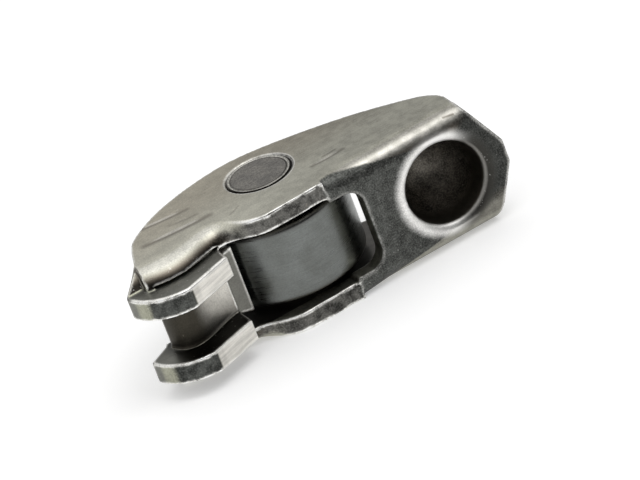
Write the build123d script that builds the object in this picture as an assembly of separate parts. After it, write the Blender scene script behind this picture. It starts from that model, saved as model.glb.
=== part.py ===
"""Roller finger follower: a rocker arm pressed from one sheet, with a needle roller on a staked pin.

It lies on one side wall. +Z runs along the roller pin, +X towards the ball socket's end, +Y towards
the cam. The origin is on the socket's axis, halfway along its straight land, at mid-width.
The shapes are laid out from the web's underside (y = 0) and moved to that origin at the end.
All sizes are in millimetres.
"""
from build123d import *
from math import asin, cos, pi, sin
import os

# Sheet and side walls
width = 15.3
sheet = 2.15
wall_end = 4.7
free_edge_rise = 0.3

# Centres, from the socket's axis and the web's underside
pivot_to_pin = 17.0
pivot_to_valve = 33.3
pin_rise = 9.65

# Ball socket
socket_radius = 4.85
socket_lip = 1.25
socket_lip_depth = 0.75
socket_land = 1.7
cup_wall = 1.1
cup_flare = 0.6

# Web beyond the socket, and the bends into the side walls
nose_length = 8.0
nose_half_width = 1.4
nose_shoulder = 5.0
nose_shoulder_inset = 0.6
bend_radius = 2.5
bend_radius_at_window = 1.6

# Window for the roller
window_edge = 9.7
window_side_gap = 0.4
window_corner = 2.0
strip_end = 13.5

# Pin, needles, roller and thrust washers
pin_diameter = 7.6
pin_seat_clearance = 0.01
stake_chamfer = 0.25
stake_rim = 0.1
stake_ring = 0.35
stake_depth = 0.16
needle_diameter = 1.5
needle_gap = 0.07
race_clearance = 0.015
roller_wall = 3.42
roller_side_gap = 0.9
roller_edge = 0.6
roller_clearance = 0.65
needle_end_clearance = 0.1
washer_diameter = 12.4
washer_clearance = 0.075

# Valve end: tongue, pallet and guide ears
tongue_height = 4.2
tongue_side_gap = 0.3
tongue_root_side_gap = 1.9
pallet_step = 1.0
pallet_crest = 0.9
pallet_start = 6.5
pallet_thickness = 2.6
stem_slot = 5.87
ear_overlap = 0.035
ear_radius = 5.5
ear_rise = 3.45
ear_facet_start = 0.1
relief_rise = 2.5
relief_radius = 2.8
bulge_low = 0.25
bulge_inset = 0.515
end_rise = 1.6
end_bend_radius = 2.9
turned_up_rise = 5.9
crevice_width = 0.3
crevice_depth = 0.9

# Places worked out from the sizes above
half = width / 2
inner = half - sheet
pin_x = -pivot_to_pin
valve_x = -pivot_to_valve
ear_inside = stem_slot / 2
ear_outside = inner + ear_overlap
ear_thickness = ear_outside - ear_inside
pallet_start_x = valve_x + pallet_start
relief_start = pallet_start_x + 7.3
bent_end_x = valve_x - 3.0
end_wall_x = valve_x - 1.4
bulge_radius = half - ear_inside - bulge_inset
pin_radius = pin_diameter / 2
pitch_radius = pin_radius + race_clearance + needle_diameter / 2
race_radius = pitch_radius + needle_diameter / 2 + race_clearance
roller_radius = race_radius + roller_wall
roller_width = 2 * (inner - roller_side_gap)
needle_count = int(pi / asin((needle_diameter + needle_gap) / (2 * pitch_radius)))
socket_datum = socket_lip_depth + socket_land / 2
sphere_y = socket_lip_depth + socket_land
over = 5.0


# Lower edge at the valve end, from the free edge through the relief and the bulge to the end:
# each point has its place along X, its height and the outside radius of the bend there
bottom_curve = Spline(
    (relief_start, free_edge_rise / 2, 0.1),
    (relief_start - 2.0, free_edge_rise, 0.15),
    (pallet_start_x + 3.8, relief_rise * 0.42, 0.35),
    (pallet_start_x + 2.6, relief_rise * 0.78, relief_radius * 0.45),
    (pallet_start_x + 1.4, relief_rise, relief_radius * 0.8),
    (pallet_start_x - 0.2, relief_rise * 0.94, relief_radius),
    (valve_x + 3.4, (relief_rise + bulge_low * 2) / 3, (relief_radius + bulge_radius) / 2),
    (valve_x, bulge_low, bulge_radius),
    (bent_end_x, end_rise, end_bend_radius),
    (bent_end_x - 1.2, end_rise + 0.6, end_bend_radius * 0.8),
)
bottom_steps = 26
bottom_stations = []
for step in range(bottom_steps + 1):
    place = bottom_curve @ (step / bottom_steps)
    bottom_stations.append((place.X, place.Y, max(place.Z, 0.1)))


def side_prism(outline, low, high):
    """An area drawn on the XY plane, as a prism between two heights along Z."""
    return extrude(Pos(0, 0, low) * outline, high - low)


def both_sides(solid):
    """The solid and its mirror image across the mid-plane."""
    return solid + mirror(solid, Plane.XY)


def across(x):
    """Plane square to X at x, with its own axes along Y and Z."""
    return Plane(origin=(x, 0, 0), x_dir=(0, 1, 0), z_dir=(1, 0, 0))


def corner_waste(stations, inside):
    """What is under and outside a rounded lower corner, from (x, bottom height, radius) stations."""
    out = 2.5
    sections = []
    for x, low, radius in stations:
        wire = Polyline(
            (low, half - radius),
            (low, inside),
            (-out, inside),
            (-out, half + out),
            (low + radius, half + out),
            (low + radius, half),
        )
        round_edge = CenterArc((low + radius, half - radius), radius, 90, 90)
        sections.append(across(x) * make_face(wire + round_edge))
    return loft(sections, ruled=True)


# Side walls: one outline pressed through the whole width
top_edge = [
    (valve_x - 0.3, pin_rise + 0.15),
    (valve_x + 4.8, pin_rise + 3.75),
    (pin_x - 6.0, pin_rise + 5.5),
    (pin_x - 0.5, pin_rise + 5.9),
    (pin_x + 4.9, pin_rise + 4.65),
    (pin_x + 12.0, pin_rise + 1.95),
    (wall_end - 2.5, 7.5),
]
wall_outline = make_face(
    Polyline(
        (wall_end, 3.7),
        (wall_end, 0),
        (-strip_end, 0),
        (-strip_end - 0.6, free_edge_rise),
        (relief_start, free_edge_rise / 2),
        (relief_start - 0.5, bulge_low / 2),
        (bent_end_x, bulge_low / 2),
        (bent_end_x, end_rise),
    )
    + Spline((bent_end_x, end_rise), (valve_x - 2.2, 5.5), top_edge[0])
    + Spline(*top_edge)
    + Spline(
        top_edge[-1],
        (wall_end - 0.7, 5.8),
        (wall_end, 3.7),
        tangents=((0.85, -0.53), (0, -1)),
    )
)
body = side_prism(wall_outline, -half, half)

# Web plate, pointed beyond the socket
nose_outline = make_face(
    Polyline(
        (-pivot_to_pin / 2, -half),
        (wall_end, -half),
        (nose_shoulder, nose_shoulder_inset - half),
        (nose_length, -nose_half_width),
        (nose_length, nose_half_width),
        (nose_shoulder, half - nose_shoulder_inset),
        (wall_end, half),
        (-pivot_to_pin / 2, half),
        close=True,
    )
)
web_plane = Plane(origin=(0, 0, 0), x_dir=(1, 0, 0), z_dir=(0, 1, 0))
body += extrude(web_plane * nose_outline, sheet)

# Bends between web and side walls, wide by the socket and tight by the window
bend_stations = [
    (nose_length + over, 0, bend_radius),
    (-window_edge, 0, bend_radius),
    (-strip_end, 0, bend_radius_at_window),
]
body -= both_sides(corner_waste(bend_stations, half - 2 * bend_radius))

# Bent-in bottom at the valve end
body -= both_sides(corner_waste(bottom_stations, ear_inside))

# Channel between the walls
floor_points = [
    (pallet_start_x, tongue_height + sheet),
    (pallet_start_x - 3.4, pallet_crest + pallet_thickness + 1.0),
    (valve_x + 0.4, pallet_crest + pallet_thickness + 0.2),
    (valve_x - 1.6, pallet_crest + pallet_thickness + 1.5),
]
high = pin_rise * 3
channel = make_face(
    Polyline(
        (nose_length + over, sheet),
        (-strip_end, sheet),
        (-strip_end, -over),
        (pallet_start_x, -over),
        floor_points[0],
    )
    + Spline(*floor_points)
    + Polyline(
        floor_points[-1],
        (valve_x - 2 * over, floor_points[-1][1] + 1.0),
        (valve_x - 2 * over, high),
        (nose_length + over, high),
        (nose_length + over, sheet),
    )
)
body -= side_prism(channel, -inner, inner)

# Window in the web, with rounded corners towards the socket
window_half_width = roller_width / 2 + window_side_gap
window = Box(2 * strip_end - 2 * window_edge, 4 * sheet, 2 * window_half_width)
window = Pos(-strip_end, 0, 0) * window
window_corners = window.edges().filter_by(Axis.Y).group_by(Axis.X)[-1]
body -= fillet(window_corners, window_corner)

# Slot for the valve stem, under the pallet
pallet_end = (valve_x - 2.2, pallet_crest + 2.6)
pallet_outline = make_face(
    Polyline(
        (pallet_start_x + over, tongue_height),
        (pallet_start_x, tongue_height),
        (pallet_start_x, tongue_height - pallet_step),
    )
    + Spline(
        (pallet_start_x, tongue_height - pallet_step),
        (valve_x + 3.1, pallet_crest + 1.0),
        (valve_x, pallet_crest),
        pallet_end,
    )
    + Polyline(
        pallet_end,
        (valve_x - 0.6, pallet_end[1] + 3.2),
        (valve_x - 0.6, 2 * pin_rise),
        (valve_x - 2 * over, 2 * pin_rise),
        (valve_x - 2 * over, -over),
        (pallet_start_x + over, -over),
        (pallet_start_x + over, tongue_height),
    )
)
body -= side_prism(pallet_outline, -ear_inside, ear_inside)

# Tongue from the pallet towards the roller
tongue_outline = make_face(
    Polyline(
        (pallet_start_x - 0.5, tongue_root_side_gap - inner),
        (pallet_start_x + over, tongue_side_gap - inner),
        (pallet_start_x + over, inner - tongue_side_gap),
        (pallet_start_x - 0.5, inner - tongue_root_side_gap),
        close=True,
    )
)
tongue_plane = Plane(origin=(0, tongue_height + sheet, 0), x_dir=(1, 0, 0), z_dir=(0, -1, 0))
tongue = extrude(tongue_plane * tongue_outline, sheet)
roller_room = Cylinder(roller_radius + roller_clearance, inner * 2)
body += tongue - Pos(pin_x, pin_rise, 0) * roller_room

# Guide ears either side of the pallet
ear_centre = (valve_x + 0.2, ear_rise)
facet_end = (ear_centre[0] + 0.4, ear_rise - ear_radius - 0.12)
ear_tip = (ear_centre[0] - ear_radius * cos(asin(0.12)), ear_rise - ear_radius * 0.12)
ear_outline = make_face(
    Line((pallet_start_x, ear_facet_start), facet_end)
    + ThreePointArc(
        facet_end,
        (ear_centre[0] - ear_radius * sin(0.71), ear_rise - ear_radius * cos(0.71)),
        ear_tip,
    )
    + Polyline(
        ear_tip,
        (end_wall_x - 0.4, turned_up_rise - 0.9),
        (end_wall_x, tongue_height),
        (pallet_start_x, tongue_height),
        (pallet_start_x, ear_facet_start),
    )
)
body += both_sides(side_prism(ear_outline, ear_inside, ear_outside))

# End of the sheet, turned up behind each ear and curling out to the side wall: each station has
# its place along Z, its lower corner and its upper corner
end_stations = [
    (ear_inside, ear_tip, (end_wall_x - 0.4, turned_up_rise - 0.9)),
    (ear_outside, ear_tip, (bent_end_x, turned_up_rise)),
    (half - 0.1, (bent_end_x + 0.6, turned_up_rise - 1.3), (bent_end_x + 0.8, turned_up_rise - 0.5)),
]
end_sections = []
for z, lower, upper in end_stations:
    corners = [lower, upper, (end_wall_x, upper[1]), (end_wall_x, lower[1])]
    end_sections.append(Pos(0, 0, z) * make_face(Polyline(*corners, close=True)))
body += both_sides(loft(end_sections, ruled=True))

# Troughs over the ears on the cam side
trough_inside = ear_inside + ear_thickness / 2
trough_outline = make_face(
    Polyline(
        (pallet_start_x + 1, relief_rise + sheet),
        (valve_x + 3.2, bulge_low + sheet + 0.6),
        (valve_x - 0.6, bulge_low + sheet + 0.4),
        (end_wall_x, turned_up_rise),
        (end_wall_x, high),
        (pallet_start_x + 1, high),
        close=True,
    )
)
body -= both_sides(side_prism(trough_outline, trough_inside, inner))

# Crevice between each ear and the bulge of the side wall
crevice_top = [
    (pallet_start_x + 0.2, relief_rise + crevice_depth),
    (valve_x + 3.2, bulge_low + 0.9 + crevice_depth),
    (valve_x - 2.2, end_rise + 0.3 + crevice_depth),
]
crevice_outline = make_face(
    Spline(*crevice_top)
    + Polyline(
        crevice_top[-1],
        (valve_x - 2.2, -over),
        (pallet_start_x + 0.2, -over),
        crevice_top[0],
    )
)
body -= both_sides(side_prism(crevice_outline, ear_outside, ear_outside + crevice_width))

# Ball socket drawn into the web
outer = socket_radius + cup_wall
cup_outline = make_face(
    Polyline(
        (0, sphere_y + outer),
        (0, sheet / 2),
        (outer + cup_flare, sheet / 2),
        (outer + cup_flare, sheet),
    )
    + CenterArc((outer + cup_flare, sheet + cup_flare), cup_flare, 180, 90)
    + Line((outer, sheet + cup_flare), (outer, sphere_y))
    + CenterArc((0, sphere_y), outer, 0, 90)
)
cup = revolve(cup_outline, Axis.Y)
hollow_outline = make_face(
    Polyline(
        (0, sphere_y + socket_radius),
        (0, -over),
        (socket_radius + socket_lip, -over),
        (socket_radius + socket_lip, 0),
    )
    + Bezier(
        (socket_radius + socket_lip, 0),
        (socket_radius + socket_lip * 0.4, 0),
        (socket_radius, socket_lip_depth * 0.4),
        (socket_radius, socket_lip_depth),
    )
    + Line((socket_radius, socket_lip_depth), (socket_radius, sphere_y))
    + CenterArc((0, sphere_y), socket_radius, 0, 90)
)
body += cup
body -= revolve(hollow_outline, Axis.Y)

# Holes for the pin, countersunk for its staked ends
hole_radius = pin_radius + pin_seat_clearance
hole = Cylinder(hole_radius, width + 1)
for side in (-1, 1):
    flare = Cone(hole_radius, hole_radius + 2 * stake_chamfer, 2 * stake_chamfer)
    if side < 0:
        flare = mirror(flare, Plane.XY)
    hole += Pos(0, 0, side * half) * flare
body -= Pos(pin_x, pin_rise, 0) * hole

# Pin, flush with the walls, its ends staked by a ring-shaped groove
groove_middle = pin_radius - stake_rim - stake_ring / 2
groove_outline = make_face(
    Polyline(
        (groove_middle - stake_ring / 2, half),
        (groove_middle, half - stake_depth),
        (groove_middle + stake_ring / 2, half),
        close=True,
    )
)
groove = revolve(Plane.XZ * groove_outline, Axis.Z)
pin = Cylinder(pin_radius, width) - both_sides(groove)
axle_pin = Pos(pin_x, pin_rise, 0) * pin

# Roller ring
ring = Cylinder(roller_radius, roller_width)
ring = fillet(ring.edges(), roller_edge)
ring -= Cylinder(race_radius, roller_width + 1)
roller = Pos(pin_x, pin_rise, 0) * ring

# Thrust washers between the roller's ends and the walls
washer = Cylinder(washer_diameter / 2, roller_side_gap - 2 * washer_clearance)
washer -= Cylinder(pin_radius + washer_clearance, roller_side_gap)
washer_z = inner - roller_side_gap / 2

# Needles, a full ring of them round the pin
needle = Cylinder(needle_diameter / 2, roller_width - 2 * needle_end_clearance)

pieces = {"rocker_body": body, "axle_pin": axle_pin, "roller": roller}
for name, side in (("thrust_washer_upper", 1), ("thrust_washer_lower", -1)):
    pieces[name] = Pos(pin_x, pin_rise, side * washer_z) * washer
for index in range(needle_count):
    angle = 2 * pi * index / needle_count
    place = Pos(pin_x + pitch_radius * cos(angle), pin_rise + pitch_radius * sin(angle), 0)
    pieces[f"needle_{index + 1:02d}"] = place * needle

os.makedirs("parts", exist_ok=True)
for name, solid in pieces.items():
    export_step(Pos(0, -socket_datum, 0) * solid, f"parts/{name}.step")
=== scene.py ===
"""Roller finger follower lying on one side wall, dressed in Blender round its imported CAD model.

Metres, in the CAD's own frame: +Z along the roller pin, +X towards the ball socket's end, +Y towards
the cam. The origin is on the socket's axis. The script runs from top to bottom, one section a piece.
"""
import math
import bpy
import numpy as np
from mathutils import Matrix, Vector


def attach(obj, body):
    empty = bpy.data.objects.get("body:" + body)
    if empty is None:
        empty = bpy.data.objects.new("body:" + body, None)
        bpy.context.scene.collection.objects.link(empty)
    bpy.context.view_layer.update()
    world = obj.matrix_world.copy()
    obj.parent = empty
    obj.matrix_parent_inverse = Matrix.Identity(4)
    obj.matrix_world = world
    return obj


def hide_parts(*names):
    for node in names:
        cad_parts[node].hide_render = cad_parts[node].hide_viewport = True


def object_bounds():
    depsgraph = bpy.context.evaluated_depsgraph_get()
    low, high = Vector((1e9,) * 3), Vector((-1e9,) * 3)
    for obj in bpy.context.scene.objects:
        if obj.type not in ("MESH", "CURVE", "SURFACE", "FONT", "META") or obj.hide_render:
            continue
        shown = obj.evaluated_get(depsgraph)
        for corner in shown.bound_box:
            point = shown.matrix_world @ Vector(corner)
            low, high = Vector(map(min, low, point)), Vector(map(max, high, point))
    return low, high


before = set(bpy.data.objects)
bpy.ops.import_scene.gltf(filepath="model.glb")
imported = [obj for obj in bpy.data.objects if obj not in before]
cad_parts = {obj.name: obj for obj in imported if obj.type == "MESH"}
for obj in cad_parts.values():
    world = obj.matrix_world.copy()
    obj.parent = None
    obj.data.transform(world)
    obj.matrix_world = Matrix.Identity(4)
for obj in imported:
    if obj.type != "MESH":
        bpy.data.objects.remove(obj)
cad_low, cad_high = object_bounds()
mm = 0.001

# Camera: a long lens at the photograph's angle, looking at the arm's underside from above its low side.
# The picture is 640 pixels across, nine to the millimetre. The web's underside lies below the origin.
view_right = Vector((0.838, -0.438, -0.321)).normalized()
view_ahead = Vector((0.270, 0.846, -0.454))
view_ahead = (view_ahead - view_right * view_ahead.dot(view_right)).normalized()
view_up = view_right.cross(view_ahead)
picture_width, pixels_per_mm = 640, 9.0
stand_off = 1.0
underside_depth = 1.6
middle = view_right * -14.078 + view_up * -6.244 - Vector((0, underside_depth, 0))
camera_data = bpy.data.cameras.new("camera")
camera_data.sensor_width = 36.0
camera_data.lens = camera_data.sensor_width * stand_off / (picture_width / pixels_per_mm * mm)
camera_data.clip_start = 0.05
camera = bpy.data.objects.new("camera", camera_data)
turn = Matrix((view_right, view_up, -view_ahead)).transposed().to_4x4()
camera.matrix_world = Matrix.Translation(middle * mm - view_ahead * stand_off) @ turn
bpy.context.collection.objects.link(camera)
bpy.context.scene.camera = camera
bpy.context.scene.view_settings.view_transform = "Standard"

# Studio: white paper, one soft box overhead and a room that is darker on the camera's side. Seen straight
# or mirrored in the steel, the paper glows a little, so it looks white without lighting the arm more.


def put(tree, kind, inputs=None, **settings):
    """Adds one node, with its settings, and links or sets each named input."""
    node = tree.nodes.new(kind)
    for key, value in settings.items():
        setattr(node, key, value)
    for key, value in (inputs or {}).items():
        if isinstance(value, bpy.types.NodeSocket):
            tree.links.new(value, node.inputs[key])
        else:
            node.inputs[key].default_value = value
    return node


def sums(tree, operation, first, second=0.0, third=0.0):
    """One Math node's value."""
    return put(tree, "ShaderNodeMath", {0: first, 1: second, 2: third}, operation=operation).outputs[0]


def ramp(tree, value, low, high, out_low=0.0, out_high=1.0):
    """A value brought smoothly from one span to another, held at both ends."""
    wanted = {"Value": value, "From Min": low, "From Max": high, "To Min": out_low, "To Max": out_high}
    return put(tree, "ShaderNodeMapRange", wanted, interpolation_type="SMOOTHSTEP").outputs["Result"]


def grey(red, green, blue):
    """A colour with full alpha."""
    return (red, green, blue, 1.0)


world = bpy.data.worlds.new("room")
bpy.context.scene.world = world
world.use_nodes = True
tree = world.node_tree
tree.nodes.clear()
horizon_light, zenith_light, lobe_light = 0.42, 0.95, 0.12
way = put(tree, "ShaderNodeTexCoord").outputs["Generated"]
height = put(tree, "ShaderNodeSeparateXYZ", {0: way}).outputs["Z"]
light = ramp(tree, height, 0.0, 0.95, horizon_light, zenith_light)
camera_side = put(tree, "ShaderNodeVectorMath", {0: way, 1: (0.25, -0.93, 0.25)}, operation="DOT_PRODUCT")
shade = ramp(tree, camera_side.outputs["Value"], 0.55, 0.97, 1.0, lobe_light)
light = sums(tree, "MULTIPLY", light, shade)
room = put(tree, "ShaderNodeBackground", {"Color": grey(1.0, 1.0, 1.0), "Strength": light})
put(tree, "ShaderNodeOutputWorld", {"Surface": room.outputs[0]})

box_size = 0.38
box_watts_per_area = 2.3 * math.pi
box_data = bpy.data.lights.new("soft_box", "AREA")
box_data.size = box_size
box_data.energy = box_watts_per_area * box_size**2
soft_box = bpy.data.objects.new("soft_box", box_data)
soft_box.location = (0.19, -0.24, 0.66)
soft_box.rotation_euler = Vector(soft_box.location).to_track_quat("Z", "Y").to_euler()
bpy.context.collection.objects.link(soft_box)

floor_half = 2.0
floor_z = cad_low[2]
paper_white = 0.86
paper_lift = 0.34
floor_mesh = bpy.data.meshes.new("floor")
corners = [(-1, -1), (1, -1), (1, 1), (-1, 1)]
floor_mesh.from_pydata([(x * floor_half, y * floor_half, floor_z) for x, y in corners], [], [(0, 1, 2, 3)])
floor = bpy.data.objects.new("floor", floor_mesh)
bpy.context.collection.objects.link(floor)
paper = bpy.data.materials.new("white_paper")
paper.use_nodes = True
tree = paper.node_tree
tree.nodes.clear()
seen = put(tree, "ShaderNodeLightPath")
straight = sums(tree, "MAXIMUM", seen.outputs["Is Camera Ray"], seen.outputs["Is Glossy Ray"])
straight = sums(tree, "MAXIMUM", straight, seen.outputs["Is Transmission Ray"])
lift = sums(tree, "MULTIPLY", straight, paper_lift)
glow = put(tree, "ShaderNodeEmission", {"Color": grey(1.0, 1.0, 1.0), "Strength": lift})
matt = put(tree, "ShaderNodeBsdfDiffuse", {"Color": grey(paper_white, paper_white, paper_white)})
both = put(tree, "ShaderNodeAddShader", {0: matt.outputs[0], 1: glow.outputs[0]})
put(tree, "ShaderNodeOutputMaterial", {"Surface": both.outputs[0]})
floor_mesh.materials.append(paper)

# Rocker body: one sheet of steel, blanked, folded up at both sides, drawn into a cup and tumbled.
# Its walls are satin grey, the web has a painted dark reflection, the cut edges are darker, and corners are
# worn bright and carry a painted highlight.
width_half = 7.65
pin_at = (-17.0, 9.65)
skin_cell = 0.15 * mm
skin_share = 0.5
wear_and_highlight_span, hollow_shade_span = (0.022, 0.065), (0.03, 0.11)

# Press marks, in millimetres: start and end of the line from the socket's axis and the web's underside,
# then its reach to either side and its depth.
press_marks = [
    ((-32.4, 11.7), (-26.0, 10.45), 0.30, 0.075),
    ((-33.0, 7.65), (-25.0, 6.60), 0.38, 0.090),
    ((-29.0, 9.0), (-25.8, 8.3), 0.22, 0.030),
    ((-12.4, 4.80), (-8.3, 4.85), 0.24, 0.075),
    ((-10.6, 5.6), (-8.9, 5.7), 0.16, 0.035),
    ((-23.4, 4.3), (-21.9, 5.2), 0.14, 0.030),
    ((2.6, 0.85), (3.8, 0.70), 0.10, 0.110),
]


def evaluated(piece):
    """The piece's mesh with its modifiers applied, as a new mesh; the modifiers are taken off."""
    shown = piece.evaluated_get(bpy.context.evaluated_depsgraph_get())
    made = bpy.data.meshes.new_from_object(shown)
    piece.modifiers.clear()
    piece.data = made
    return made


def points_of(mesh):
    """The mesh's vertex positions as an array of rows."""
    flat = np.empty(len(mesh.vertices) * 3, dtype=np.float32)
    mesh.vertices.foreach_get("co", flat)
    return flat.reshape(-1, 3).astype(np.float64)


def normals_of(mesh):
    """The mesh's vertex normals as an array of rows."""
    flat = np.empty(len(mesh.vertices) * 3, dtype=np.float32)
    mesh.vertex_normals.foreach_get("vector", flat)
    return flat.reshape(-1, 3).astype(np.float64)


def step_between(value, low, high):
    """0 below low, 1 above high and a smooth S between them, for whole arrays."""
    share = np.clip((value - low) / (high - low), 0.0, 1.0)
    return share * share * (3.0 - 2.0 * share)


def neighbour_mean(values, edges, count):
    """For each vertex, the mean of the values at the far ends of its edges."""
    total = np.zeros((count, values.shape[1]))
    np.add.at(total, edges[:, 0], values[edges[:, 1]])
    np.add.at(total, edges[:, 1], values[edges[:, 0]])
    degree = np.bincount(edges.ravel(), minlength=count)[:, None]
    return total / np.maximum(degree, 1)


rocker_body = bpy.data.objects.new("rocker_body_skin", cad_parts["rocker_body"].data.copy())
bpy.context.collection.objects.link(rocker_body)
weld = rocker_body.modifiers.new("weld", "WELD")
weld.merge_threshold = 1e-6
skin = rocker_body.modifiers.new("skin", "REMESH")
skin.mode = "VOXEL"
skin.voxel_size = skin_cell
skin.use_smooth_shade = True
smooth = rocker_body.modifiers.new("smooth", "SMOOTH")
smooth.factor = 0.5
smooth.iterations = 4
mesh = evaluated(rocker_body)

# Each mark is sunk into the flat of the upper wall along the normal. Its depth falls off as a bell curve
# over its reach, and as half a sine wave from its start to its end. On the bend it has no depth.
spots = points_of(mesh)
facing = normals_of(mesh)
drawn = spots / mm + np.array([0.0, underside_depth, 0.0])
on_wall = step_between(drawn[:, 2], width_half - 0.25, width_half - 0.1)
press = np.zeros(len(drawn))
for start, end, reach, depth in press_marks:
    start, end = np.array(start), np.array(end)
    along = end - start
    share = np.clip((drawn[:, :2] - start) @ along / (along @ along), 0.0, 1.0)
    away = np.linalg.norm(drawn[:, :2] - start - share[:, None] * along, axis=1)
    fade = np.sin(np.pi * np.clip(share, 0.04, 0.96))
    press -= depth * np.exp(-((away / reach) ** 2)) * fade * on_wall
spots = spots + facing * press[:, None] * mm
mesh.vertices.foreach_set("co", spots.astype(np.float32).ravel())

# Wear and a painted highlight follow the corners: how far each point stands out from the mean of its
# neighbours, along its normal, as a share of the cell. Points that lie in from it are hollows, which get
# painted shade.
links = np.empty(len(mesh.edges) * 2, dtype=np.int32)
mesh.edges.foreach_get("vertices", links)
links = links.reshape(-1, 2)
corner = ((spots - neighbour_mean(spots, links, len(spots))) * facing).sum(axis=1, keepdims=True)
for _ in range(2):
    corner = neighbour_mean(corner, links, len(spots))
corner = corner[:, 0] / skin_cell
for name, amount, span in (("edge_wear_and_highlight", corner, wear_and_highlight_span), ("hollow_shade", -corner, hollow_shade_span)):
    layer = mesh.attributes.new(name, "FLOAT", "POINT")
    layer.data.foreach_set("value", step_between(amount, *span).astype(np.float32))
thin = rocker_body.modifiers.new("thin", "DECIMATE")
thin.ratio = skin_share
mesh = evaluated(rocker_body)
mesh.materials.clear()
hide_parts("rocker_body")
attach(rocker_body, "arm")


def blended(tree, share, first, second):
    """Two colours mixed by a share."""
    node = put(tree, "ShaderNodeMix", data_type="RGBA")
    for socket, value in ((node.inputs[0], share), (node.inputs[6], first), (node.inputs[7], second)):
        if isinstance(value, bpy.types.NodeSocket):
            tree.links.new(value, socket)
        else:
            socket.default_value = value
    return node.outputs[2]


def folded(tree, operation, values):
    """One Math operation carried through any number of values, from the first to the last."""
    total = values[0]
    for value in values[1:]:
        total = sums(tree, operation, total, value)
    return total


def times(tree, *values):
    """The product of any number of values."""
    return folded(tree, "MULTIPLY", values)


def plus(tree, *values):
    """The sum of any number of values."""
    return folded(tree, "ADD", values)


def most(tree, *values):
    """The largest of any number of values."""
    return folded(tree, "MAXIMUM", values)


def less(tree, share, amount=1.0):
    """One, less an amount of a share."""
    return sums(tree, "MULTIPLY_ADD", share, -amount, 1.0)


def within(tree, value, low, high, soft):
    """1 between low and high, falling smoothly to 0 over soft outside them."""
    return times(tree, ramp(tree, value, low - soft, low), ramp(tree, value, high, high + soft, 1.0, 0.0))


def steel(name):
    """A new material, its tree, and the place on it in millimetres, with y from the web's underside."""
    made = bpy.data.materials.new(name)
    made.use_nodes = True
    tree = made.node_tree
    tree.nodes.clear()
    spot = put(tree, "ShaderNodeTexCoord").outputs["Object"]
    place = put(tree, "ShaderNodeVectorMath", {0: spot, 1: (1.0 / mm,) * 3, 2: (0.0, underside_depth, 0.0)},
                operation="MULTIPLY_ADD").outputs[0]
    return made, tree, place


def noise(tree, place, scale, detail=3.0, stretch=(1.0, 1.0, 1.0)):
    """Cloudy noise with features about 1/scale of a millimetre wide, stretched by a factor on each axis."""
    where = put(tree, "ShaderNodeVectorMath", {0: place, 1: stretch}, operation="MULTIPLY").outputs[0]
    wanted = {"Vector": where, "Scale": scale, "Detail": detail}
    return put(tree, "ShaderNodeTexNoise", wanted).outputs["Fac"]


def varied(tree, cloudy, low, high):
    """A noise brought to a span, from its usual range of 0.3 to 0.7."""
    return ramp(tree, cloudy, 0.3, 0.7, low, high)


def reach_from(tree, place, centre, keep):
    """Distance from a point, with the way along each axis counted by the factors in keep."""
    away = put(tree, "ShaderNodeVectorMath", {0: place, 1: centre}, operation="SUBTRACT").outputs[0]
    flat = put(tree, "ShaderNodeVectorMath", {0: away, 1: keep}, operation="MULTIPLY").outputs[0]
    return put(tree, "ShaderNodeVectorMath", {0: flat}, operation="LENGTH").outputs["Value"]


def reach_from_line(tree, place, start, end):
    """Distance from a line between two points, seen along the pin: the place is dropped on to the line, and
    the foot is held between its ends."""
    along = Vector((end[0] - start[0], end[1] - start[1], 0.0))
    away = put(tree, "ShaderNodeVectorMath", {0: place, 1: (*start, 0.0)}, operation="SUBTRACT").outputs[0]
    away = put(tree, "ShaderNodeVectorMath", {0: away, 1: (1.0, 1.0, 0.0)}, operation="MULTIPLY").outputs[0]
    unit = along / along.length_squared
    share = put(tree, "ShaderNodeVectorMath", {0: away, 1: unit}, operation="DOT_PRODUCT").outputs["Value"]
    share = put(tree, "ShaderNodeClamp", {"Value": share}).outputs[0]
    foot = put(tree, "ShaderNodeVectorMath", {0: along, 3: share}, operation="SCALE").outputs[0]
    return put(tree, "ShaderNodeVectorMath", {0: away, 1: foot}, operation="DISTANCE").outputs["Value"]


def lean_from_pin(tree, place):
    """How far a place lies from the pin's axis towards the web and the socket, in millimetres."""
    towards = (0.45, -0.90)
    lean = put(tree, "ShaderNodeVectorMath", {0: place, 1: (*towards, 0.0)}, operation="DOT_PRODUCT")
    at_pin = towards[0] * pin_at[0] + towards[1] * pin_at[1]
    return sums(tree, "SUBTRACT", lean.outputs["Value"], at_pin)


def finish_steel(tree, colour, tone, roughness, bump, bump_height):
    """The metal surface: colour times tone, with its roughness and a fine bump in metres."""
    tinted = put(tree, "ShaderNodeVectorMath", {0: colour, 3: tone}, operation="SCALE").outputs[0]
    bumped = put(tree, "ShaderNodeBump", {"Strength": 1.0, "Distance": bump_height, "Height": bump})
    metal = put(tree, "ShaderNodeBsdfPrincipled", {
        "Base Color": tinted, "Roughness": roughness, "Normal": bumped.outputs[0],
    })
    metal.inputs["Metallic"].default_value = 1.0
    put(tree, "ShaderNodeOutputMaterial", {"Surface": metal.outputs[0]})
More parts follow.
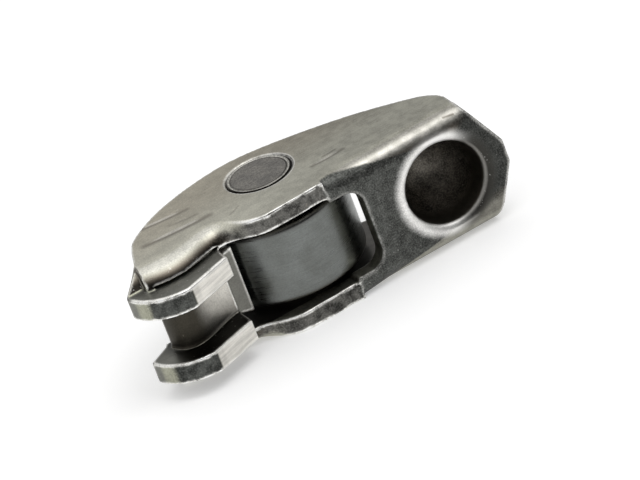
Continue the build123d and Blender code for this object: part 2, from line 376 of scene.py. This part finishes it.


# The finish is laid on in coats, each a share and a colour. A share runs from 0 to 1 with the place, in
# millimetres from the socket's axis, the web's underside and the middle of the arm, and with the facing:
# down is 1 where the surface faces the way the web's underside does, and 0 where it faces sideways.
# Many of these colours are painted light: the darks on the bends, web, bulges, ears, channel, pallet, lip
# and cup are painted shade or painted dark reflection, and their brights are painted highlights. The
# near-black is painted shade, and the palest grey is wear and painted highlight together.
satin, satin_brown = grey(0.50, 0.490, 0.418), grey(0.40, 0.372, 0.305)
wear_and_highlight_bright, shade_black = grey(0.84, 0.83, 0.79), grey(0.018, 0.016, 0.013)
shade_and_pit_brown, lower_bend_shade_beige = grey(0.20, 0.18, 0.15), grey(0.31, 0.30, 0.26)
highlight_grey, highlight_bright = grey(0.47, 0.455, 0.41), grey(0.74, 0.72, 0.66)
painted_reflection_dark, cut_grey = grey(0.115, 0.118, 0.110), grey(0.095, 0.093, 0.086)
bulge_shade_tint, torn_grey = grey(0.15, 0.13, 0.105), grey(0.15, 0.14, 0.12)
facet_reflection_bright, ear_side_grey = grey(0.70, 0.68, 0.63), grey(0.18, 0.18, 0.16)
arc_reflection_olive, arc_reflection_dark = grey(0.31, 0.31, 0.245), grey(0.055, 0.057, 0.053)
channel_shade_grey, tongue_grey = grey(0.10, 0.095, 0.085), grey(0.17, 0.168, 0.150)
pallet_shade_dark, pallet_highlight_grey = grey(0.042, 0.038, 0.030), grey(0.60, 0.58, 0.53)
lip_highlight_bright, lip_shade_dark, lip_highlight_line = grey(0.97, 0.96, 0.93), grey(0.060, 0.058, 0.052), grey(0.30, 0.29, 0.27)
cup_shade_dark, cup_brown = grey(0.22, 0.20, 0.17), grey(0.48, 0.45, 0.39)

# Along the arm: the window's end at the socket's side, where the web's strips beside the window start,
# where the walls swell, where the ears and their round fronts start, and where the sheet's end turns up.
window_end, web_start, bulge_start = -9.3, -13.7, -24.5
ear_start, arc_start, end_start = -26.7, -32.7, -35.6

# Across it: the sheet, the walls' inner faces, half the slot between the ears and half the width over
# them. Upwards: how far the ears' and the pallet's coats reach, and the middle of the cup's half sphere,
# which closes a straight land that has the origin halfway along it.
sheet = 2.15
wall_inside = width_half - sheet
slot_half, ear_half = 2.935, 5.69
ear_top, pallet_top = 5.7, 6.0
cup_radius, land_length = 4.85, 1.7
cup_middle_y = underside_depth + land_length / 2

pressed, tree, place = steel("pressed_steel")
facing = put(tree, "ShaderNodeSeparateXYZ", {0: put(tree, "ShaderNodeTexCoord").outputs["Normal"]})
down = sums(tree, "MULTIPLY", facing.outputs["Y"], -1.0)
sideways = sums(tree, "ABSOLUTE", facing.outputs["Z"])
at = put(tree, "ShaderNodeSeparateXYZ", {0: place})
x, y, z = at.outputs["X"], at.outputs["Y"], at.outputs["Z"]
off_middle = sums(tree, "ABSOLUTE", z)

cloud = noise(tree, place, 0.22, 4.0)
mottle = noise(tree, place, 0.9, 4.0)
grain = noise(tree, place, 5.5, 3.0)
fleck = noise(tree, place, 2.6, 2.0)
brushed = noise(tree, place, 1.5, 4.0, (0.25, 3.0, 1.0))
streaks = noise(tree, place, 1.2, 3.0, (0.15, 0.3, 2.5))

# Walls: satin, browner towards the free edge.
high_wall = sums(tree, "MULTIPLY_ADD", x, -0.12, y)
colour = blended(tree, ramp(tree, high_wall, 6.0, 15.0), satin, satin_brown)

# Bends beside the web: a painted highlight at the upper one's turn; painted shade, brown on the upper and
# beige on the lower.
on_web = ramp(tree, x, web_start - 0.5, web_start)
bend_shade = times(tree, on_web, ramp(tree, down, 0.80, 0.97))
bend_shade_tint = blended(tree, ramp(tree, z, -4.0, -5.0), shade_and_pit_brown, lower_bend_shade_beige)
bend_painted_highlight = times(tree, on_web, within(tree, down, 0.40, 0.82, 0.14), ramp(tree, z, 3.0, 4.0),
                   ramp(tree, mottle, 0.30, 0.62, 0.7, 1.0))
bend_highlight_colour = blended(tree, ramp(tree, down, 0.50, 0.72), highlight_grey, highlight_bright)
coats = [(bend_shade, bend_shade_tint), (bend_painted_highlight, bend_highlight_colour)]

# Web: a painted dark reflection between two edges that close in on the socket. Past it the upper edge opens
# out again towards the nose, and both grow soft.
dark_half, dark_slope, nose_spread = 5.36, -0.187, 3.4
towards_nose = times(tree, ramp(tree, x, 2.2, 6.2, 0.0, nose_spread), ramp(tree, z, -2.0, 2.0))
edge_of_dark = sums(tree, "MULTIPLY_ADD", x, dark_slope, dark_half)
edge_of_dark = plus(tree, edge_of_dark, towards_nose, times(tree, mottle, 0.25))
softness = ramp(tree, x, 0.5, 4.0, 0.0, 0.9)
inside_dark = ramp(tree, sums(tree, "SUBTRACT", edge_of_dark, off_middle), times(tree, softness, -1.0),
                   plus(tree, softness, 0.24))
web_painted_reflection = times(tree, on_web, inside_dark, ramp(tree, down, 0.10, 0.40))
coats += [(web_painted_reflection, painted_reflection_dark)]

# Walls' lower edges: sheared and rough beside the window, then swelling over the pallet, where they have a
# painted highlight on top and a painted dark reflection that goes through brown to black in the crevice.
wall_cut = times(tree, ramp(tree, x, web_start + 0.1, web_start - 0.1), ramp(tree, down, 0.55, 0.85),
                 ramp(tree, off_middle, wall_inside - 0.2, wall_inside),
                 ramp(tree, x, ear_start - 0.8, ear_start + 0.7))
on_bulge = ramp(tree, x, bulge_start, bulge_start - 2.5)
bulge_painted_highlight = times(tree, within(tree, down, 0.30, 0.46, 0.16),
                    ramp(tree, off_middle, wall_inside + 0.4, wall_inside + 0.8), on_bulge, 0.35)
bulge_painted_brown = times(tree, within(tree, off_middle, wall_inside + 0.02, wall_inside + 0.9, 1.0),
                    ramp(tree, down, 0.46, 0.66), on_bulge)
bulge_painted_black = times(tree, within(tree, off_middle, wall_inside + 0.02, wall_inside + 0.6, 0.7),
                   ramp(tree, down, 0.50, 0.72), on_bulge)
coats += [(wall_cut, cut_grey), (bulge_painted_highlight, wear_and_highlight_bright), (bulge_painted_brown, bulge_shade_tint),
          (bulge_painted_black, shade_black)]

# Ears: a facet with a painted bright reflection, plain sides, and a round front with a painted reflection
# that is dark next to the facet and olive beyond.
ear = times(tree, ramp(tree, x, ear_start + 0.2, ear_start - 0.2),
            ramp(tree, off_middle, ear_half + 0.03, ear_half - 0.03),
            ramp(tree, off_middle, slot_half - 0.085, slot_half - 0.035))
ear_facet = times(tree, ear, ramp(tree, down, 0.5, 0.62), ramp(tree, x, arc_start - 0.2, arc_start + 0.1))
ear_side = times(tree, ear, ramp(tree, down, 0.6, 0.4), ramp(tree, y, ear_top + 0.3, ear_top - 0.3))
ear_arc = times(tree, ear, ramp(tree, down, 0.3, 0.45), ramp(tree, x, arc_start + 0.3, arc_start))
arc_painted_dark = times(tree, ear_arc, ramp(tree, sums(tree, "MULTIPLY_ADD", mottle, 0.10, down), 0.62, 0.74))
coats += [(ear_facet, facet_reflection_bright), (ear_side, ear_side_grey), (ear_arc, arc_reflection_olive), (arc_painted_dark, arc_reflection_dark)]

# Channel, the ears' inner faces and the pallet are painted dark as painted shade, the inner faces paler
# near the sheet's end; the pallet has a painted highlight, and the tongue lies beside the window.
past_ear_start = ramp(tree, x, ear_start, ear_start - 0.3)
channel = times(tree, ramp(tree, off_middle, wall_inside + 0.06, wall_inside),
                ramp(tree, y, sheet - 0.15, sheet + 0.25), ramp(tree, x, ear_start - 0.8, ear_start + 0.2))
ear_inner_shade = times(tree, within(tree, off_middle, 2.7, 3.2, 0.1), past_ear_start,
                  ramp(tree, sideways, 0.6, 0.9))
ear_inner_end = times(tree, ear_inner_shade, ramp(tree, x, -34.6, -37.0))
pallet = times(tree, ramp(tree, off_middle, slot_half + 0.035, slot_half - 0.015), past_ear_start,
               ramp(tree, y, pallet_top + 0.2, pallet_top - 0.2), ramp(tree, sideways, 0.9, 0.6))
pallet_painted_highlight = times(tree, pallet, within(tree, x, -29.2, -26.8, 3.4), ramp(tree, z, -2.9, 1.2, 0.25, 1.0))
tongue = times(tree, within(tree, x, -26.85, -24.0, 0.1), within(tree, y, 4.05, 4.4, 0.1),
               ramp(tree, down, 0.7, 0.9))
coats += [(channel, channel_shade_grey), (ear_inner_shade, shade_black), (ear_inner_end, ear_side_grey),
          (pallet, pallet_shade_dark), (pallet_painted_highlight, pallet_highlight_grey), (tongue, tongue_grey)]

# Socket: its rolled lip has a painted highlight on the window's side and painted shade on the nose's, with
# a thin painted highlight line at the mouth; the cup is painted dark as painted shade, with one paler
# patch.
lip_outside, lip_crest = 6.75, 5.55
from_socket = reach_from(tree, place, (0.0, 0.0, 0.0), (1.0, 0.0, 1.0))
lip_height = ramp(tree, y, 1.3, 0.7)
lip = times(tree, ramp(tree, from_socket, lip_outside, lip_crest), lip_height)
narrow_lip = times(tree, ramp(tree, from_socket, cup_radius + 0.5, cup_radius + 0.2), lip_height)
lip_side = ramp(tree, sums(tree, "MULTIPLY_ADD", z, -0.3, x), 0.5, 4.5)
from_cup_middle = reach_from(tree, place, (0.0, cup_middle_y, 0.0), (1.0, 1.0, 1.0))
cup = times(tree, ramp(tree, from_socket, cup_radius + 0.08, cup_radius - 0.01), ramp(tree, y, 0.2, 0.75),
            ramp(tree, from_cup_middle, 5.8, 5.4))
from_patch = reach_from(tree, place, (-0.9, 6.5, 0.6), (1.0, 0.6, 1.0))
cup_patch = times(tree, cup, ramp(tree, from_patch, 3.4, 0.4),
                  ramp(tree, noise(tree, place, 0.45, 4.0), 0.35, 0.65, 0.3, 1.0))
coats += [(times(tree, lip, less(tree, lip_side)), lip_highlight_bright), (times(tree, lip, lip_side), lip_shade_dark),
          (times(tree, narrow_lip, lip_side), lip_highlight_line), (cup, cup_shade_dark), (cup_patch, cup_brown)]

# The pin's seat: painted shade makes a black gap round the staked rim, widest towards the web, and a
# painted highlight makes a bright line outside it.
seat_gap, seat_line = (3.6, 4.02), (4.12, 4.18)
from_pin = reach_from(tree, place, (*pin_at, 0.0), (1.0, 1.0, 0.0))
lean = lean_from_pin(tree, place)
from_seat = sums(tree, "MULTIPLY_ADD", lean, -0.03, from_pin)
on_side = ramp(tree, off_middle, width_half - 0.65, width_half - 0.45)
seat_painted_shade = times(tree, on_side, within(tree, from_seat, *seat_gap, 0.08),
                  ramp(tree, lean, -3.6, -0.5, 0.3, 1.0))
seat_painted_highlight = times(tree, on_side, within(tree, from_seat, *seat_line, 0.07),
                    ramp(tree, lean, -3.6, 1.0, 0.25, 0.75))
coats += [(seat_painted_shade, shade_black), (seat_painted_highlight, wear_and_highlight_bright)]

# Wear and painted highlight: bright corners, less so round the window and on the sheet's turned-up end.
# Painted shade: black hollows. Then pale flecks and brown pits.
wear_and_highlight = put(tree, "ShaderNodeAttribute", attribute_name="edge_wear_and_highlight").outputs["Fac"]
hollow_shade = put(tree, "ShaderNodeAttribute", attribute_name="hollow_shade").outputs["Fac"]
by_window = times(tree, within(tree, x, web_start + 0.3, window_end, 0.2),
                  ramp(tree, off_middle, wall_inside + 0.1, wall_inside - 0.2))
torn = times(tree, ramp(tree, x, end_start, end_start - 0.3), ramp(tree, facing.outputs["X"], -0.35, -0.6),
             ramp(tree, y, sheet + 0.25, sheet + 0.65))
by_end = times(tree, ramp(tree, x, end_start + 0.4, end_start), ramp(tree, off_middle, 4.4, 4.8),
               ramp(tree, y, sheet - 0.25, sheet + 0.15))
calm = less(tree, most(tree, by_window, torn, by_end), 0.75)
worn_and_highlit = times(tree, wear_and_highlight, less(tree, cup), calm, ramp(tree, mottle, 0.28, 0.48, 0.55, 1.0))
shaded = most(tree, cup, pallet, times(tree, web_painted_reflection, 0.6), channel, wall_cut, arc_painted_dark)
flecks = times(tree, ramp(tree, fleck, 0.66, 0.74, 0.0, 0.22), less(tree, shaded))
pits = ramp(tree, noise(tree, place, 1.9, 3.0), 0.29, 0.22, 0.0, 0.5)
coats += [(worn_and_highlit, wear_and_highlight_bright), (times(tree, hollow_shade, 0.75), shade_black),
          (times(tree, torn, ramp(tree, mottle, 0.3, 0.6, 0.6, 1.0)), torn_grey),
          (flecks, wear_and_highlight_bright), (pits, shade_and_pit_brown)]

# Press marks: painted shade, brown along their middle, more so the deeper they are, and a painted
# highlight on the side pushed up.
# The web's painted dark reflection has bright specks.
mark_spread, mark_least, mark_per_mm = 2.0, 0.30, 5.0
press_shade = 0.0
for start, end, reach, depth in press_marks:
    gap = reach_from_line(tree, place, start, end)
    strongest = mark_least + mark_per_mm * depth
    press_shade = most(tree, press_shade, ramp(tree, gap, reach * mark_spread, 0.0, 0.0, strongest))
press_shade = times(tree, press_shade, ramp(tree, z, 6.3, 6.6))
press_highlight = times(tree, ramp(tree, press_shade, 0.0, 0.12), ramp(tree, down, 0.04, 0.12), 0.28,
                  ramp(tree, off_middle, width_half - 0.35, width_half - 0.25))
specks = times(tree, web_painted_reflection, ramp(tree, noise(tree, place, 3.4, 2.0), 0.69, 0.75), 0.45)
coats += [(press_shade, shade_and_pit_brown), (press_highlight, wear_and_highlight_bright), (specks, wear_and_highlight_bright)]

for share, coat in coats:
    colour = blended(tree, share, colour, coat)

# Tone: cloudy and grained, darker towards the nose. The web and the rough cuts each have a speckle of their
# own, and the web's painted dark reflection deepens towards the nose. The ears' sides get painted shade
# towards their roots, the facets get streaks and a painted dark line at the kink, and the lip and the
# facets are smoother than the rest.
rough_cut = most(tree, wall_cut, arc_painted_dark)
smooth_share = most(tree, lip, ear_facet)
tone = plus(tree, varied(tree, cloud, 0.90, 1.05), varied(tree, grain, -0.13, 0.13))
tone = times(tree, tone, ramp(tree, x, -30.0, -2.0, 1.12, 0.72))
tone = plus(tree, tone, varied(tree, brushed, -0.05, 0.05), ramp(tree, mottle, 0.35, 0.65, -0.06, 0.06),
            times(tree, web_painted_reflection, ramp(tree, mottle, 0.35, 0.65, -0.10, 0.10)),
            times(tree, web_painted_reflection, ramp(tree, grain, 0.40, 0.66, -0.14, 0.36)))
tone = times(tree, tone, less(tree, times(tree, web_painted_reflection, ramp(tree, x, -8.0, 3.0)), 0.40))
tone = plus(tree, tone, times(tree, rough_cut, ramp(tree, mottle, 0.34, 0.66, -0.30, 0.55)),
            times(tree, rough_cut, ramp(tree, grain, 0.45, 0.70, -0.10, 0.50)))
tone = times(tree, tone, less(tree, times(tree, ear_side, ramp(tree, y, 0.5, 4.5)), 0.45))
tone = plus(tree, tone, times(tree, ear_facet, ramp(tree, streaks, 0.35, 0.65, -0.55, 0.35)),
            times(tree, ear_facet, within(tree, x, arc_start - 0.2, arc_start + 0.8, 0.5), -0.5))
tone = plus(tree, times(tree, tone, less(tree, smooth_share, 0.7)), times(tree, smooth_share, 0.7))
rough = plus(tree, varied(tree, grain, 0.30, 0.42), times(tree, web_painted_reflection, 0.12))
finish_steel(tree, colour, tone, rough, sums(tree, "MULTIPLY_ADD", mottle, 0.8, grain), 0.006 * mm)
mesh.materials.append(pressed)

# Needles: eighteen hardened steel rollers, ground and lapped, in a full ring round the pin.
# They keep their CAD form as it is, under a thin film of oil, and the washers hide them.
needle_count = 18
needle_steel, tree, place = steel("lapped_needle_steel")
lapping = noise(tree, place, 2.0, 3.0, (6.0, 6.0, 0.4))
oil = noise(tree, place, 0.5, 3.0)
colour = blended(tree, ramp(tree, oil, 0.35, 0.65), grey(0.52, 0.52, 0.50), grey(0.36, 0.34, 0.29))
finish_steel(tree, colour, varied(tree, lapping, 0.9, 1.08), varied(tree, oil, 0.16, 0.30), lapping,
             0.0015 * mm)
for index in range(needle_count):
    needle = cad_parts[f"needle_{index + 1:02d}"]
    needle.data.materials.clear()
    needle.data.materials.append(needle_steel)

# Thrust washers: two thin hardened rings, punched, ground flat and tumbled, loose on the pin
# between the roller's ends and the side walls.


def turned(name, profile, body, node, steps=160, poles=False):
    """A closed lathe surface: every (radius, z) point of the profile, in millimetres, is turned round the
    pin's axis, so that a point is (axis + radius * cos, axis + radius * sin, z). The profile is a closed
    loop, or runs from pole to pole on the axis; the points that fall together there are welded to one."""
    profile = np.array(profile)
    angle = np.linspace(0.0, 2.0 * np.pi, steps, endpoint=False)
    radius = profile[:, 0][None, :]
    x = pin_at[0] + radius * np.cos(angle)[:, None]
    y = pin_at[1] - underside_depth + radius * np.sin(angle)[:, None]
    z = np.broadcast_to(profile[:, 1][None, :], x.shape)
    points = np.stack([x, y, z], axis=2).reshape(-1, 3) * mm
    count = len(profile)
    row, column = np.meshgrid(np.arange(steps), np.arange(count - poles), indexing="ij")
    next_row, next_column = (row + 1) % steps, (column + 1) % count
    quads = np.stack([
        row * count + column, next_row * count + column,
        next_row * count + next_column, row * count + next_column,
    ], axis=2).reshape(-1, 4)
    mesh = bpy.data.meshes.new(name)
    mesh.from_pydata(points.tolist(), [], quads.tolist())
    mesh.shade_smooth()
    piece = bpy.data.objects.new(name, mesh)
    bpy.context.collection.objects.link(piece)
    weld = piece.modifiers.new("weld", "WELD")
    weld.merge_threshold = 1e-7
    evaluated(piece)
    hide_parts(node)
    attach(piece, body)
    return piece


def rounded(corners, radius, steps=5):
    """The closed outline with each corner replaced by a small arc: a quadratic curve that leaves one side
    and meets the next at a distance of radius from the corner."""
    corners = np.array(corners, dtype=float)
    before = np.roll(corners, 1, axis=0) - corners
    after = np.roll(corners, -1, axis=0) - corners
    before *= radius / np.linalg.norm(before, axis=1, keepdims=True)
    after *= radius / np.linalg.norm(after, axis=1, keepdims=True)
    share = np.linspace(0.0, 1.0, steps)[None, :, None]
    start, end = (corners + before)[:, None, :], (corners + after)[:, None, :]
    middle = corners[:, None, :]
    arcs = (1 - share) ** 2 * start + 2 * share * (1 - share) * middle + share**2 * end
    return arcs.reshape(-1, 2)


washer_steel, tree, place = steel("washer_steel")
spin = noise(tree, place, 3.0, 3.0)
patch = noise(tree, place, 0.5, 3.0)
colour = blended(tree, ramp(tree, patch, 0.35, 0.65), grey(0.22, 0.215, 0.20), grey(0.14, 0.13, 0.115))
finish_steel(tree, colour, varied(tree, spin, 0.88, 1.1), varied(tree, spin, 0.34, 0.46), spin, 0.003 * mm)
washer_inner, washer_outer, washer_half, washer_edge = 3.875, 6.2, 0.375, 0.12
washer_middle = 5.05
for node, side in (("thrust_washer_upper", 1), ("thrust_washer_lower", -1)):
    low, high = side * washer_middle - washer_half, side * washer_middle + washer_half
    section = [(washer_inner, low), (washer_outer, low), (washer_outer, high), (washer_inner, high)]
    outline = rounded(section, washer_edge)
    washer = turned(node + "_turned", outline, "arm", node)
    washer.data.materials.append(washer_steel)

# Roller: a hardened ring, turned, ground round with fine circular marks, its edges rounded and its
# tread crowned by a few hundredths. Its bore, the race, is the first half of an outline that is closed
# in the middle of the ring's wall.
roller_radius, race_radius, roller_half, roller_edge, crown = 8.75, 5.33, 4.6, 0.6, 0.03
mid_wall, bore_edge = 7.0, 0.25
end_shade_span = (roller_half - 0.9, roller_half - 0.2)
tread_z = np.linspace(-1.0, 1.0, 25) * (roller_half - roller_edge)
tread = np.stack([roller_radius - crown * (tread_z / roller_half) ** 2, tread_z], axis=1)
bow = np.linspace(0.0, np.pi / 2, 9)
bow_radius = roller_radius - crown - roller_edge + roller_edge * np.cos(bow)
upper_bow = np.stack([bow_radius, roller_half - roller_edge + roller_edge * np.sin(bow)], axis=1)
lower_bow = upper_bow[::-1] * np.array([1.0, -1.0])
inner_half = rounded([(race_radius, -roller_half), (race_radius, roller_half), (mid_wall, roller_half),
                      (mid_wall, -roller_half)], bore_edge)
at_race = len(inner_half) // 2
bore = inner_half[:at_race]
profile = np.concatenate([lower_bow, tread[1:-1], upper_bow, bore[::-1]])
roller = turned("roller_turned", profile, "roller", "roller", 256)
ground, tree, place = steel("ground_steel")
rings = noise(tree, place, 3.0, 4.0, (0.15, 0.15, 4.0))
scuffs = noise(tree, place, 0.35, 4.0)
grain = noise(tree, place, 6.0, 2.0)
colour = blended(tree, varied(tree, scuffs, 0.0, 1.0), grey(0.185, 0.195, 0.187), grey(0.150, 0.157, 0.148))
height = sums(tree, "ABSOLUTE", put(tree, "ShaderNodeSeparateXYZ", {0: place}).outputs["Z"])
# The ends are painted darker: painted shade between the roller and the washers.
colour = blended(tree, ramp(tree, height, *end_shade_span), colour, grey(0.10, 0.10, 0.095))
tone = plus(tree, varied(tree, rings, 0.90, 1.08), varied(tree, grain, -0.07, 0.07))
finish_steel(tree, colour, tone, varied(tree, rings, 0.26, 0.38), rings, 0.004 * mm)
roller.data.materials.append(ground)

# Axle pin: a hardened steel pin, cut off and pressed through both walls, its ends staked by a ring
# tool that spreads the rim into the hole and leaves a matt disc inside the groove.
pin_radius, pin_half, groove_middle, groove_half, groove_depth = 3.8, 7.65, 3.525, 0.175, 0.14
share = np.linspace(-1.0, 1.0, 9)
groove = np.stack([
    groove_middle - groove_half * share,
    pin_half - groove_depth * np.cos(share * np.pi / 2) ** 2,
], axis=1)
rim = np.array([
    [pin_radius, pin_half - 0.35],
    [pin_radius - 0.01, pin_half - 0.10],
    [pin_radius - 0.05, pin_half - 0.02],
])
disc_radius = np.linspace(groove_middle - groove_half - 0.12, 0.0, 16)
disc = np.stack([disc_radius, pin_half - 0.012 + 0.008 * np.cos(disc_radius * 3.0)], axis=1)
upper_end = np.concatenate([rim, groove, disc])
lower_end = upper_end[::-1] * np.array([1.0, -1.0])
profile = np.concatenate([lower_end, upper_end])
axle_pin = turned("axle_pin_turned", profile, "arm", "axle_pin", poles=True)
stake_ring, groove_line, rim_edge = (3.48, 3.64), (3.27, 3.34), (3.66, 3.72)
matt, tree, place = steel("staked_pin_steel")
from_pin = reach_from(tree, place, (*pin_at, 0.0), (1.0, 1.0, 0.0))
lean = lean_from_pin(tree, place)
grain = noise(tree, place, 5.0, 3.0)
cloud = noise(tree, place, 0.6, 4.0)
scratch = noise(tree, place, 1.2, 4.0, (0.4, 2.5, 1.0))
colour = blended(tree, ramp(tree, cloud, 0.35, 0.65), grey(0.235, 0.225, 0.205), grey(0.185, 0.178, 0.165))
ring = times(tree, within(tree, from_pin, *stake_ring, 0.06), ramp(tree, cloud, 0.3, 0.6, 0.55, 1.0))
# Painted shade: a thin dark line in the groove and a dark rim at the hole, both strongest towards the web.
line = times(tree, within(tree, from_pin, *groove_line, 0.06), ramp(tree, lean, -1.5, 2.5, 0.45, 0.95))
rim_shade = times(tree, ramp(tree, from_pin, *rim_edge), ramp(tree, lean, -3.6, -0.5, 0.3, 1.0))
for share, coat in ((ring, grey(0.56, 0.55, 0.51)), (line, shade_black), (rim_shade, shade_black)):
    colour = blended(tree, share, colour, coat)
tone = plus(tree, ramp(tree, grain, 0.36, 0.64, 0.74, 1.26), varied(tree, scratch, -0.10, 0.10))
finish_steel(tree, colour, tone, varied(tree, grain, 0.42, 0.56), grain, 0.006 * mm)
axle_pin.data.materials.append(matt)
